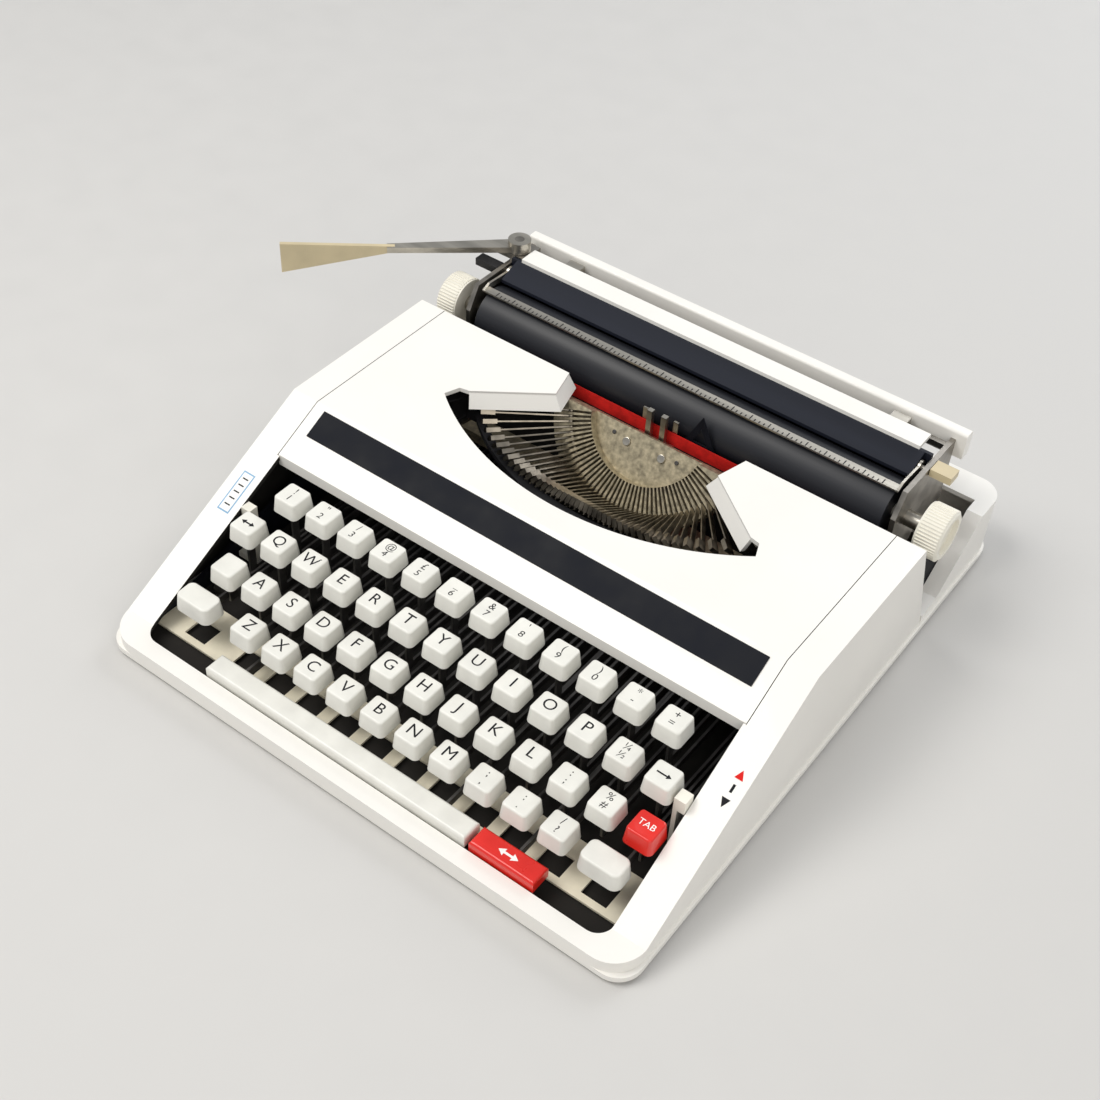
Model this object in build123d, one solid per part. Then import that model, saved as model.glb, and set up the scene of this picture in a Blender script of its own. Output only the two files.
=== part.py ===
"""Portable manual typewriter: a white moulded body, a lift-off ribbon cover, four banks of keys on
levers that share one fulcrum shaft, a type segment with its typebars, and a sliding, shifting carriage.

Millimetres, +Z up, +X to the typist's right, +Y away from the typist. The origin lies on the table,
under the middle of the body.
"""
import math
import os

from build123d import *

# Body
BODY_W = 287.0
BODY_D = 321.0
FOOT_H = 2.0
FOOT_R = 7.0
FOOT_INSET = 28.0
WALL = 2.5
TRAY_FLOOR = 1.6
TRAY_LIP_H = 3.0
TRAY_LIP_OUT = 1.2
FRONT_H = 11.5
RIM_DEPTH = 14.5
RIM_RISE = 1.0
SLOPE_RISE = 0.5
COVER_TOP_Z = 70.0
FRONT_CORNER_R = 16.0
REAR_CORNER_R = 12.0
BACK_TILT = 21.6
SEAM_GAP = 0.4

SCREW_R = 3.2
SCREW_H = 1.8
SCREW_SLOT = 0.9
SCREW_FROM_FRAME = 6.0
SCREW_FROM_FRONT = 55.5
SCREW_REAR_Y = 100.0

# Rear panel
REAR_PANEL_H = 38.0
REAR_PANEL_STEP_H = 10.0
REAR_RISE_START = 14.0
REAR_RISE_RUN = 36.0
REAR_LEDGE = 17.0

# Keyboard opening and keys
OPENING_CORNER_R = 8.0
BEZEL_W = 16.0
BANK_CLEAR = 4.0
KEY_GAP = 4.8
KEY_D = 14.2
FRONT_RIM_W = 8.2
KEY_H = 8.5
KEY_TAPER = 7.0
KEY_CORNER_R = 2.6
KEY_EDGE_R = 1.0
KEY_DISH_R = 38.0
KEY_DISH = 0.3
ROW_KEYS = (12, 13, 13, 10)
ROW_SHIFT = (0.0, -0.518, -0.2425, 1.176)
ROW_FROM_FRONT = (85.5, 65.9, 47.3, 31.2)
ROW_TOP_Z = (56.0, 46.7, 37.6, 29.1)
H_INDEX = 6
LEVER_T = 1.2
LEVER_DEPTH = 4.0
STEM_W = 4.0
FULCRUM_Y = 50.0
FULCRUM_Z = 12.0
FULCRUM_R = 2.0
LEVER_EYE_R = 4.2
LEVER_FRONT_RISE = 6.0
RUN_FIT = 0.05
SHIFT_KEY_W = 21.0
SHIFT_KEY_D = 13.0
SHIFT_KEY_Z = 29.0
SHIFT_FROM_SIDE = 15.5
SHIFT_FROM_FRONT = 30.0
SHIFT_ROD_R = 1.4
SHIFT_ROD_BEHIND = 8.0
BAR_DEPTH = 10.3
BAR_H = 6.0
BAR_TOP_Z = 17.0
BAR_FRONT_GAP = 0.8
SPACE_BAR_KEYS = (0.87, 8.55)
REPEAT_BAR_KEYS = (8.67, 10.39)
ARM_SLOT = 0.64
SPACE_ARMS = (1, 7)
REPEAT_ARMS = (9,)
GUIDE_T = 1.2
GUIDE_Z = 5.0
GUIDE_DEPTH = 24.0
GUIDE_GAP = 1.5
GUIDE_SLOT = (12.5, 11.0)
GUIDE_SLOT_AHEAD = 1.5
BAR_ARM_Z = 14.0
BAR_EDGE_R = 1.4
SHIFT_CORNER_R = 4.0
SHIFT_LINK_W = 4.0

# Inner frame
FRAME_INSET = 10.5
FRAME_T = 2.0
FRAME_FRONT_H = 10.0
FRAME_MID_H = 34.0
FRAME_RISE_Y = -20.0
FRAME_STEP = 0.8
RAIL_Y = 109.0
RAIL_W = 6.0
RAIL_Z = (14.0, 36.0)

# Type segment and typebars
SEG_Y = 59.5
SEG_Z = 69.3
SEG_TILT = 57.0
SEG_IN_R = 31.8
SEG_OUT_R = 52.2
SEG_T = 9.5
SEG_RECESS = 6.0
SEG_CHORD = 8.7
SEG_BAR_Y = (40.0, 52.0)
SEG_BAR_Z = (19.0, 25.0)
TYPEBARS = 44
TYPEBAR_SPREAD = 72.0
TYPEBAR_R = 45.0
TYPEBAR_DEPTH = 4.0
TYPEBAR_T = 0.7
TYPEBAR_H = 2.6
TYPEBAR_L = 44.0
TYPEBAR_REST_Z = 54.0
TYPEBAR_END_RISE = 1.5
SLOT_W = 1.2
SLOT_DEPTH = 6.0
SLUG_W = 2.2
SLUG_L = 7.0
SLUG_RISE = 4.0
TYPEBAR_EYE_R = 1.8

# Ribbon
SPOOL_INNER_X = 86.0
SPOOL_SIDE_GAP = 7.0
SPOOL_Y = 30.0
SPOOL_CORE_R = 7.0
SPOOL_BORE_R = 2.0
SPOOL_H = 14.0
SPOOL_Z = 46.0
SPOOL_FLANGE = 1.2
CUP_T = 1.5
CUP_RIM = 2.0
RIBBON_W = 12.0
RIBBON_T = 0.3
RIBBON_Y = 67.5
RIBBON_Z = 48.5
RIBBON_GUIDE_X = 58.0
RIBBON_BEND = 8.0
RIBBON_TURN_Y = 66.0

GUIDE_PRONG_X = (2.6, 5.4)
GUIDE_PRONG_Y = (64.0, 66.6)
GUIDE_PRONG_Z = (54.0, 70.0)
GUIDE_FOOT_H = 3.0
GUIDE_FOOT_Y = 58.0
GAUGE_X = (13.0, 31.0)
GAUGE_Y = (69.4, 70.2)
GAUGE_Z = (57.0, 76.0)
GAUGE_STEM_W = 4.0
GAUGE_FOOT_Y = 54.0
GAUGE_FOOT_Z = (44.0, 46.0)
GAUGE_SIDE = 4.8
GAUGE_FOOT_BAR = 3.0
GAUGE_PEAK = 6.6
FORK_X = (7.4, 10.0)
FORK_Y = (68.1, 69.1)
FORK_Z = (44.0, 67.0)
FORK_BRIDGE_H = 4.0
REST_PAD_W = 5.0
REST_PAD_T = 3.0
REST_PAD_GAP = 0.4

# Small controls
SELECTOR_FROM_FRONT = 64.5
SELECTOR_W = 5.4
SELECTOR_Z = (36.0, 43.0)
SELECTOR_L = 6.0
TOUCH_FROM_FRONT = 76.5
TOUCH_L = 5.0
CONTROL_FOOT_Z = (8.0, 11.0)
CONTROL_STEM_T = 2.0
CONTROL_GAP = 0.3

# Drive
DRUM_X = -104.0
DRUM_R = 13.0
DRUM_Y = (119.5, 129.0)
SPINDLE_Z = 20.0
SPINDLE_R = 2.0
WHEEL_X = 20.0
WHEEL_R = 9.0
WHEEL_Y = (118.5, 121.0)
WHEEL_TEETH = 20
BELL_FROM_SIDE = 48.5
BELL_FROM_REAR = 19.0
BELL_R = 13.0
BELL_H = 9.0
BELL_POST_R = 2.0
BELL_Z = 15.0

# Ribbon cover
COVER_T = 2.2
BAY_RIM = 15.0
COVER_FROM_FRONT = 101.5
STRIPE_MARGIN = 6.5
COVER_REAR_Y = 62.9
COVER_LIP = 6.0
COVER_REAR_LIP = 5.0
STRIPE_FROM = 2.8
STRIPE_WIDE = 14.4
STRIPE_T = 0.5
BASKET_R = 141.0
BASKET_FRONT_Y = -18.0
BASKET_TIP_X = 87.0
BASKET_NOTCH = (84.0, 20.0)
LOBE_TIP = (79.0, 21.0)
LOBE_CORNER = (46.0, 46.0)
LOBE_REAR_X = 50.5
LOBE_SKIRT = 8.0
LOBE_SKIRT_IN = 4.0

# Carriage
PLATEN_R = 15.5
PLATEN_HALF = 116.5
PLATEN_Y = 87.0
PLATEN_Z = 60.6
PLATEN_SHAFT_R = 4.0
RATCHET_R = 12.5
RATCHET_T = 2.0
RATCHET_TEETH = 24
KNOB_R = 12.8
KNOB_L = 12.5
KNOB_GAP = 9.0
KNOB_RIBS = 48
KNOB_RIB_R = 0.5
KNOB_DISH_R = 9.0
KNOB_DISH = 2.5
KNOB_EDGE = 1.0
TOOTH_H = 1.3
END_PLATE_X = 120.5
END_PLATE_T = 2.5
END_PLATE_TOP = 80.0
END_PLATE = ((73.0, 56.0), (73.0, 68.0), (80.0, 80.0), (127.5, 80.0), (127.5, 44.0), (103.0, 44.0),
             (95.0, 37.0), (80.0, 37.0))
TRUCK_HALF = 78.0
TRUCK_W = 14.0
TRUCK_FIT = 0.35
TRUCK_FLANGE = 6.0
TRUCK_TOP = 43.5
CARRIAGE_PAD_GAP = 0.5
CARRIAGE_PLATE_T = 2.5
CARRIAGE_REAR_Y = 127.5
FEED_R = 4.0
FEED_GAP = 0.3
FEED_SHAFT_R = 1.5
FEED_ROLLERS = 4
FEED_ROLLER_L = 28.0
PAPER_TABLE_T = 1.8
PAPER_HALF = 116.9
PAPER_TABLE = ((94.0, 78.0), (107.0, 82.6))
PAPER_REST_D = 11.0
PAPER_REST_T = 2.0
PAPER_REST_HALF = 114.0
RACK_Y = 122.5
RACK_W = 3.0
RACK_Z = (76.5, 79.5)
STOP_L = 9.0
STOP_WALL = 1.6
STOP_H = 2.4
STOP_X = (-92.0, 96.0)
REAR_COVER_D = 6.0
REAR_COVER_H = 14.0
REAR_COVER_TOP = 84.5
REAR_COVER_X = (-124.5, 128.0)
REAR_COVER_R = 1.5
BAIL_Y = 82.7
BAIL_Z = 77.2
BAIL_W = 4.5
BAIL_T = 0.9
BAIL_HALF = 118.5
BAIL_ARM_T = 1.2
BAIL_PIVOT_Y = 103.0
BAIL_PIVOT_Z = 77.0
BAIL_PIN_R = 1.5
LEVER_PIVOT = (-121.75, 115.0)
LEVER_PIN_R = 2.5
LEVER_HUB_R = 6.0
LEVER_HUB_H = 6.0
LEVER_Z = 83.5
LEVER_ANGLE = 222.5
LEVER_REACH = 122.0
LEVER_NECK = 68.0
LEVER_ARM_W = 8.0
LEVER_ARM_T = 3.2
PADDLE_H = 17.0
PADDLE_T = 2.2
LEVER_TAB_X = (-131.0, -114.0)
LEVER_TAB_Y = (109.0, 123.0)
LEVER_TAB_GAP = 0.3
RELEASE_X = 134.0
RELEASE_Y = (101.0, 109.0)
RELEASE_Z = (76.0, 80.0)
RELEASE_PIVOT = (112.0, 72.0)
PAPER_RELEASE_X = 137.0
PAPER_RELEASE_Y = (98.0, 104.0)
PAPER_RELEASE_PIVOT = (106.0, 68.0)
SIDE_LEVER_T = 2.0
SIDE_LEVER_GAP = 0.3
SIDE_PIN_R = 1.5
SIDE_HUB_R = 3.5

# Worked-out places
HALF_W = BODY_W / 2
FRONT_Y = -BODY_D / 2
REAR_Y = BODY_D / 2
TRAY_Z = FOOT_H
FLOOR_Z = TRAY_Z + TRAY_FLOOR
SHELL_Z = TRAY_Z + TRAY_LIP_H
RIM_Z = FRONT_H + RIM_RISE
SLOPE_Y = FRONT_Y + RIM_DEPTH
KINK_Y = SLOPE_Y + (COVER_TOP_Z - RIM_Z) / SLOPE_RISE
COVER_HALF_W = HALF_W - BAY_RIM
COVER_FRONT_Y = FRONT_Y + COVER_FROM_FRONT
STRIPE_HALF_W = COVER_HALF_W - STRIPE_MARGIN
SHELL_REAR_Y = COVER_REAR_Y + BACK_TILT
OPENING_W = BODY_W - 2 * BEZEL_W
OPENING_FRONT_Y = FRONT_Y + FRONT_RIM_W
BAR_FRONT_Y = OPENING_FRONT_Y + BAR_FRONT_GAP
KEY_PITCH = (OPENING_W - 2 * BANK_CLEAR) / max(ROW_KEYS)
KEY_W = KEY_PITCH - KEY_GAP
FIRST_KEY_X = -KEY_PITCH * (ROW_KEYS[0] - 1) / 2
ROW_Y = [FRONT_Y + reach for reach in ROW_FROM_FRONT]
SPACE_BAR_X = [FIRST_KEY_X + KEY_PITCH * keys for keys in SPACE_BAR_KEYS]
REPEAT_BAR_X = [FIRST_KEY_X + KEY_PITCH * keys for keys in REPEAT_BAR_KEYS]
SHIFT_KEY_X = OPENING_W / 2 - SHIFT_FROM_SIDE
SHIFT_KEY_Y = FRONT_Y + SHIFT_FROM_FRONT
LEVER_FRONT_Y = ROW_Y[3]
FRAME_X = HALF_W - FRAME_INSET
SCREW_X = FRAME_X - SCREW_FROM_FRAME
SCREW_Y = (FRONT_Y + SCREW_FROM_FRONT, 0, SCREW_REAR_Y)
SPOOL_R = (FRAME_X - SPOOL_SIDE_GAP - SPOOL_INNER_X) / 2
SPOOL_X = SPOOL_INNER_X + SPOOL_R
CONTROL_X = (OPENING_W / 2 - CONTROL_GAP - SELECTOR_W, OPENING_W / 2 - CONTROL_GAP)
BELL_X = HALF_W - BELL_FROM_SIDE
BELL_Y = REAR_Y - BELL_FROM_REAR
H_TYPEBAR = TYPEBARS // 2
KNOB_X = END_PLATE_X + END_PLATE_T + KNOB_GAP
FEED_Z = PLATEN_Z - PLATEN_R - FEED_GAP - FEED_R
CARRIAGE_PLATE_Z = TRUCK_TOP + CARRIAGE_PAD_GAP
PAPER_REST_Y = PAPER_TABLE[1][0]


def block(x, y, z):
    """A box between two limits on each axis."""
    size = Box(x[1] - x[0], y[1] - y[0], z[1] - z[0])
    return Pos((x[0] + x[1]) / 2, (y[0] + y[1]) / 2, (z[0] + z[1]) / 2) * size


def side_prism(points, x):
    """A side outline of (y, z) points, run along X between two limits."""
    face = make_face(Polyline(*[(x[0], y, z) for y, z in points], close=True))
    return extrude(face, amount=x[1] - x[0], dir=(1, 0, 0))


def plan_prism(points, z):
    """A plan outline of (x, y) points, run along Z between two limits."""
    face = make_face(Polyline(*[(px, py, z[0]) for px, py in points], close=True))
    return extrude(face, amount=z[1] - z[0], dir=(0, 0, 1))


def rod_x(y, z, r, x):
    """A round rod along X."""
    return Pos((x[0] + x[1]) / 2, y, z) * Rot(0, 90, 0) * Cylinder(r, x[1] - x[0])


def rod_y(x, z, r, y):
    """A round rod along Y."""
    return Pos(x, (y[0] + y[1]) / 2, z) * Rot(90, 0, 0) * Cylinder(r, y[1] - y[0])


def rod_z(x, y, r, z):
    """A round rod along Z."""
    return Pos(x, y, (z[0] + z[1]) / 2) * Cylinder(r, z[1] - z[0])


def save(name, *pieces):
    """One node: a single solid, or a group of separate solids."""
    solids = [solid for piece in pieces for solid in piece.solids()]
    shape = solids[0] if len(solids) == 1 else Compound(children=solids)
    export_step(shape, os.path.join("parts", name + ".step"))


def slope_z(y):
    """Height of the body's top outline over the keyboard and the cover."""
    return min(COVER_TOP_Z, RIM_Z + (y - SLOPE_Y) * SLOPE_RISE)


def lever_z(y):
    """Height of a key lever's middle line."""
    return FULCRUM_Z + LEVER_FRONT_RISE * (FULCRUM_Y - y) / (FULCRUM_Y - LEVER_FRONT_Y)


# Casing
def base_tray():
    edge = Pos(0, 0, TRAY_Z) * extrude(
        RectangleRounded(BODY_W + 2 * TRAY_LIP_OUT, BODY_D, REAR_CORNER_R), TRAY_LIP_H)
    hollow = Pos(0, 0, FLOOR_Z) * extrude(
        RectangleRounded(BODY_W - 2 * WALL, BODY_D - 2 * WALL, REAR_CORNER_R - WALL), TRAY_LIP_H)
    return edge - hollow


def shell_outline(inset):
    """Side outline of the body shell, inset by a wall."""
    tilt = BACK_TILT / (COVER_TOP_Z - SHELL_Z)
    low = SHELL_Z - (WALL if inset else 0)
    return [(FRONT_Y + inset, low), (FRONT_Y + inset, FRONT_H - inset), (SLOPE_Y, RIM_Z - inset),
            (KINK_Y + inset * SLOPE_RISE / 2, COVER_TOP_Z - inset),
            (COVER_REAR_Y + inset * (tilt + WALL), COVER_TOP_Z - inset),
            (SHELL_REAR_Y + inset * WALL, low)]


def rounded_plan(inset, corner):
    """Upright column with the body's plan, rounded at the front and running past the back."""
    depth = 2 * BODY_D
    plan = RectangleRounded(BODY_W - 2 * inset, depth, corner)
    return Pos(0, FRONT_Y + inset + depth / 2, 0) * extrude(plan, 2 * COVER_TOP_Z)


def body_shell():
    outer = side_prism(shell_outline(0), (-HALF_W, HALF_W)) & rounded_plan(0, FRONT_CORNER_R)
    inner = side_prism(shell_outline(WALL), (-HALF_W + WALL, HALF_W - WALL))
    shell = outer - (inner & rounded_plan(WALL, FRONT_CORNER_R - WALL))
    high = 2 * COVER_TOP_Z
    opening_d = COVER_FRONT_Y - OPENING_FRONT_Y + 2 * OPENING_CORNER_R
    opening = extrude(RectangleRounded(OPENING_W, opening_d, OPENING_CORNER_R), high)
    shell -= Pos(0, OPENING_FRONT_Y + opening_d / 2, SHELL_Z) * opening
    bay = COVER_HALF_W + SEAM_GAP
    return shell - block((-bay, bay), (COVER_FRONT_Y - SEAM_GAP, REAR_Y), (SHELL_Z - WALL, high))


def rear_outline(inset):
    """Side outline of the rear panel, lowered and brought forward by a wall."""
    start = SHELL_REAR_Y + SEAM_GAP
    rise = start + REAR_RISE_START
    low = SHELL_Z - (WALL if inset else 0)
    return [(start - inset, low), (start - inset, REAR_PANEL_STEP_H - inset),
            (rise, REAR_PANEL_STEP_H + RIM_RISE - inset), (rise + REAR_RISE_RUN, REAR_PANEL_H - inset),
            (REAR_Y - inset, REAR_PANEL_H - inset), (REAR_Y - inset, low)]


def rear_panel():
    """Low shell round the back of the carriage, with a ledge along its top."""
    outer = side_prism(rear_outline(0), (-HALF_W, HALF_W))
    outer = fillet(outer.edges().filter_by(Axis.Z).group_by(Axis.Y)[-1], REAR_CORNER_R)
    inner = side_prism(rear_outline(WALL), (-HALF_W + WALL, HALF_W - WALL))
    inner = fillet(inner.edges().filter_by(Axis.Z).group_by(Axis.Y)[-1], REAR_CORNER_R - WALL)
    half = FRAME_X + FRAME_T + SEAM_GAP
    well = block((-half, half), (0, REAR_Y - REAR_LEDGE), (0, 2 * REAR_PANEL_H))
    return outer - inner - well


def rubber_feet():
    """A foot near each corner, and one under the middle of the tray."""
    at_x = HALF_W - FOOT_INSET
    at_y = REAR_Y - FOOT_INSET
    places = [(sx * at_x, sy * at_y) for sx in (-1, 1) for sy in (-1, 1)] + [(0, 0)]
    return [rod_z(x, y, FOOT_R, (0, FOOT_H)) for x, y in places]


def case_screws():
    """Six screws that stand on the tray floor beside the inner frame."""
    top = FLOOR_Z + SCREW_H
    heads = [rod_z(sx * SCREW_X, y, SCREW_R, (FLOOR_Z, top)) for sx in (-1, 1) for y in SCREW_Y]
    slot = Box(2 * SCREW_R + 1, SCREW_SLOT, SCREW_H)
    return [head - Pos(head.center().X, head.center().Y, top) * slot for head in heads]


# Inner frame
def side_frames():
    """Two side plates that carry the fulcrum shaft, the key guide, the segment bar and the rail."""
    rear = RAIL_Y + RAIL_W / 2
    step_y = RAIL_Y - TRUCK_W / 2 - FRAME_T
    step_z = RAIL_Z[1] - TRUCK_FLANGE - FRAME_STEP
    outline = [(OPENING_FRONT_Y + FRONT_RIM_W, FLOOR_Z), (OPENING_FRONT_Y + FRONT_RIM_W, FRAME_FRONT_H),
               (ROW_Y[2], FRAME_FRONT_H + GUIDE_T), (FRAME_RISE_Y, FRAME_MID_H), (step_y, FRAME_MID_H),
               (step_y, step_z), (rear, step_z), (rear, FLOOR_Z)]
    plate = side_prism(outline, (0, FRAME_T))
    plate -= rod_x(FULCRUM_Y, FULCRUM_Z, FULCRUM_R, (-1, FRAME_T + 1))
    return [Pos(FRAME_X, 0, 0) * plate, Pos(-FRAME_X - FRAME_T, 0, 0) * plate]


def fulcrum_shaft():
    return rod_x(FULCRUM_Y, FULCRUM_Z, FULCRUM_R, (-FRAME_X - FRAME_T, FRAME_X + FRAME_T))


def carriage_rail():
    """Fixed rail, with the two studs that carry the mainspring drum and the escapement wheel."""
    rear = RAIL_Y + RAIL_W / 2
    rail = block((-FRAME_X, FRAME_X), (RAIL_Y - RAIL_W / 2, rear), RAIL_Z)
    rail += rod_y(DRUM_X, SPINDLE_Z, SPINDLE_R, (rear, DRUM_Y[1] + 1))
    return rail + rod_y(WHEEL_X, SPINDLE_Z, SPINDLE_R, (rear, WHEEL_Y[1] + 1))


# Keyboard
def key_x(row, index):
    return FIRST_KEY_X + KEY_PITCH * (ROW_SHIFT[row] + index)


def arm_x(pitches):
    """Middle of the free lane between two key levers, for an arm that passes among them."""
    return FIRST_KEY_X + KEY_PITCH * (pitches + ARM_SLOT)


def cap_shape(width, depth, corner):
    """A tapered cap that stands on Z = 0, with softened top edges and a shallow dish."""
    cap = extrude(RectangleRounded(width, depth, corner), KEY_H, taper=KEY_TAPER)
    cap = fillet(cap.faces().sort_by(Axis.Z)[-1].edges(), KEY_EDGE_R)
    return cap - Pos(0, 0, KEY_H - KEY_DISH + KEY_DISH_R) * Sphere(KEY_DISH_R)


def bored_arm(outline, x):
    """A flat lever with a running eye on the fulcrum shaft."""
    limits = (x - LEVER_T / 2, x + LEVER_T / 2)
    arm = side_prism(outline, limits) + rod_x(FULCRUM_Y, FULCRUM_Z, LEVER_EYE_R, limits)
    return arm - rod_x(FULCRUM_Y, FULCRUM_Z, FULCRUM_R + RUN_FIT, (limits[0] - 1, limits[1] + 1))


def key_lever(x, y, cap_z):
    """A lever with an upright stem under the cap."""
    half = LEVER_DEPTH / 2
    mid = lever_z(y)
    outline = [(y - STEM_W / 2, mid - half), (y - STEM_W / 2, cap_z), (y + STEM_W / 2, cap_z),
               (y + STEM_W / 2, mid + half), (FULCRUM_Y, FULCRUM_Z + half), (FULCRUM_Y, FULCRUM_Z - half)]
    return bored_arm(outline, x)


def bar_arm(x):
    """An arm that joins the back of a front bar to the fulcrum."""
    half = LEVER_DEPTH / 2
    rear = BAR_FRONT_Y + BAR_DEPTH
    outline = [(rear, BAR_ARM_Z - half), (rear, BAR_ARM_Z + half),
               (FULCRUM_Y, FULCRUM_Z + half), (FULCRUM_Y, FULCRUM_Z - half)]
    return bored_arm(outline, x)


def row_caps(row, indices):
    cap = cap_shape(KEY_W, KEY_D, KEY_CORNER_R)
    return [Pos(key_x(row, i), ROW_Y[row], ROW_TOP_Z[row] - KEY_H) * cap for i in indices]


def row_levers(row, indices):
    return [key_lever(key_x(row, i), ROW_Y[row], ROW_TOP_Z[row] - KEY_H) for i in indices]


def front_bar(limits):
    bar = block(limits, (BAR_FRONT_Y, BAR_FRONT_Y + BAR_DEPTH), (BAR_TOP_Z - BAR_H, BAR_TOP_Z))
    return fillet(bar.faces().sort_by(Axis.Z)[-1].edges(), BAR_EDGE_R)


def shift_arm_x(index):
    """Lane between the outer keys of the second and third banks."""
    return (key_x(1, index) + key_x(2, index)) / 2


def shift_keys():
    cap = cap_shape(SHIFT_KEY_W, SHIFT_KEY_D, SHIFT_CORNER_R)
    return [Pos(side * SHIFT_KEY_X, SHIFT_KEY_Y, SHIFT_KEY_Z - KEY_H) * cap for side in (-1, 1)]


def shift_frame():
    """Both shift levers, with a cross rod between their tails behind the fulcrum."""
    xs = [shift_arm_x(0), shift_arm_x(ROW_KEYS[1] - 1)]
    half = LEVER_T / 2
    rod_y0 = FULCRUM_Y + SHIFT_ROD_BEHIND
    tail_y = (FULCRUM_Y + FULCRUM_R + LEVER_T, rod_y0 + SHIFT_LINK_W / 2)
    tail_z = (FULCRUM_Z - SHIFT_LINK_W / 2, FULCRUM_Z + SHIFT_LINK_W / 2)
    cap_z = SHIFT_KEY_Z - KEY_H
    arms = [key_lever(x, ROW_Y[3], cap_z) + block((x - half, x + half), tail_y, tail_z) for x in xs]
    return arms + [rod_x(rod_y0, FULCRUM_Z, SHIFT_ROD_R, (xs[0] + half, xs[1] - half))]


def key_guide_plate():
    """Low plate behind the front bars, with a slot under each key of the front bank."""
    rear = BAR_FRONT_Y + BAR_DEPTH + GUIDE_GAP
    height = (GUIDE_Z, GUIDE_Z + GUIDE_T)
    plate = block((-FRAME_X, FRAME_X), (rear, rear + GUIDE_DEPTH), height)
    for x in [key_x(3, i) for i in range(ROW_KEYS[3])] + [-SHIFT_KEY_X, SHIFT_KEY_X]:
        slot = Box(GUIDE_SLOT[0], GUIDE_SLOT[1], 4 * GUIDE_T)
        plate -= Pos(x, ROW_Y[3] - GUIDE_SLOT_AHEAD, GUIDE_Z) * slot
    return plate


# Type segment
TILT = math.radians(SEG_TILT)
SEG_UP = Vector(0, math.cos(TILT), math.sin(TILT))
SEG_OUT = Vector(0, -math.sin(TILT), math.cos(TILT))
SEG_CENTRE = Vector(0, SEG_Y, SEG_Z)
SEG_PLANE = Plane(origin=SEG_CENTRE, x_dir=(1, 0, 0), z_dir=SEG_OUT)
PIVOT_CENTRE = SEG_CENTRE - SEG_OUT * TYPEBAR_DEPTH
TYPEBAR_ANGLES = [TYPEBAR_SPREAD * (2 * i / (TYPEBARS - 1) - 1) for i in range(TYPEBARS)]


def typebar_axes(angle):
    """Pivot, outward radius and pivot axis of the typebar at an angle round the segment."""
    a = math.radians(angle)
    radial = Vector(1, 0, 0) * math.sin(a) - SEG_UP * math.cos(a)
    tangent = Vector(1, 0, 0) * math.cos(a) + SEG_UP * math.sin(a)
    return PIVOT_CENTRE + radial * TYPEBAR_R, radial, tangent


def typebar_direction(angle):
    """Direction of a typebar at rest, so that its tip lies at the height of the rest pad."""
    pivot, radial, tangent = typebar_axes(angle)
    rest_z = TYPEBAR_REST_Z + TYPEBAR_END_RISE * (angle / TYPEBAR_SPREAD) ** 2
    lean = math.atan2(-radial.Z, SEG_OUT.Z)
    reach = math.hypot(radial.Z, SEG_OUT.Z)
    raised = lean + math.asin((rest_z - pivot.Z) / TYPEBAR_L / reach)
    return radial * math.cos(raised) + SEG_OUT * math.sin(raised)


def typebar(angle):
    """A flat bar from its pivot to its type slug, lying at rest."""
    pivot, radial, tangent = typebar_axes(angle)
    along = typebar_direction(angle)
    place = Plane(origin=pivot, x_dir=along, z_dir=along.cross(tangent))
    bar = Pos(TYPEBAR_L / 2, 0, 0) * Box(TYPEBAR_L, TYPEBAR_T, TYPEBAR_H)
    slug = Pos(TYPEBAR_L - SLUG_L / 2, 0, SLUG_RISE / 2) * Box(SLUG_L, SLUG_W, SLUG_RISE)
    eye = Rot(90, 0, 0) * Cylinder(TYPEBAR_EYE_R, TYPEBAR_T)
    return place.location * (bar + slug + eye)


def type_segment():
    """Half ring with a radial slot for each typebar, on a bar between the side frames."""
    disc = Pos(0, 0, -SEG_T / 2) * Cylinder(SEG_OUT_R, SEG_T)
    keep = Pos(0, -SEG_CHORD - SEG_OUT_R, 0) * Box(4 * SEG_OUT_R, 2 * SEG_OUT_R, 4 * SEG_T)
    half = disc & keep
    half -= Cylinder(SEG_IN_R, 2 * SEG_RECESS)
    cutter = Pos((SEG_IN_R + 2 * SEG_OUT_R) / 2, 0, -SLOT_DEPTH / 2) * Box(
        2 * SEG_OUT_R - SEG_IN_R, SLOT_W, SLOT_DEPTH + 1)
    half -= [Rot(0, 0, angle - 90) * cutter for angle in TYPEBAR_ANGLES]
    bar = block((-FRAME_X, FRAME_X), SEG_BAR_Y, SEG_BAR_Z)
    return SEG_PLANE.location * half + bar


def typebar_tip(angle):
    return typebar_axes(angle)[0] + typebar_direction(angle) * TYPEBAR_L


def typebar_rest():
    """Arc pad under the type slugs at rest."""
    low = typebar_tip(TYPEBAR_ANGLES[H_TYPEBAR])
    left, right = typebar_tip(TYPEBAR_ANGLES[0]), typebar_tip(TYPEBAR_ANGLES[-1])
    top = TYPEBAR_REST_Z - TYPEBAR_H - REST_PAD_GAP
    inner = ThreePointArc((left.X, left.Y, top), (0, low.Y, top), (right.X, right.Y, top))
    outer = ThreePointArc((left.X, left.Y - REST_PAD_W, top), (0, low.Y - REST_PAD_W, top),
                          (right.X, right.Y - REST_PAD_W, top))
    ends = [Line(inner @ 0, outer @ 0), Line(inner @ 1, outer @ 1)]
    pad = extrude(make_face([inner, outer] + ends), amount=REST_PAD_T, dir=(0, 0, -1))
    foot = block((right.X - REST_PAD_W, SPOOL_X - SPOOL_R - CONTROL_GAP), (right.Y - REST_PAD_W, right.Y),
                 (SPOOL_Z - CONTROL_GAP, top))
    return pad + foot + mirror(foot, about=Plane.YZ)


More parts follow.
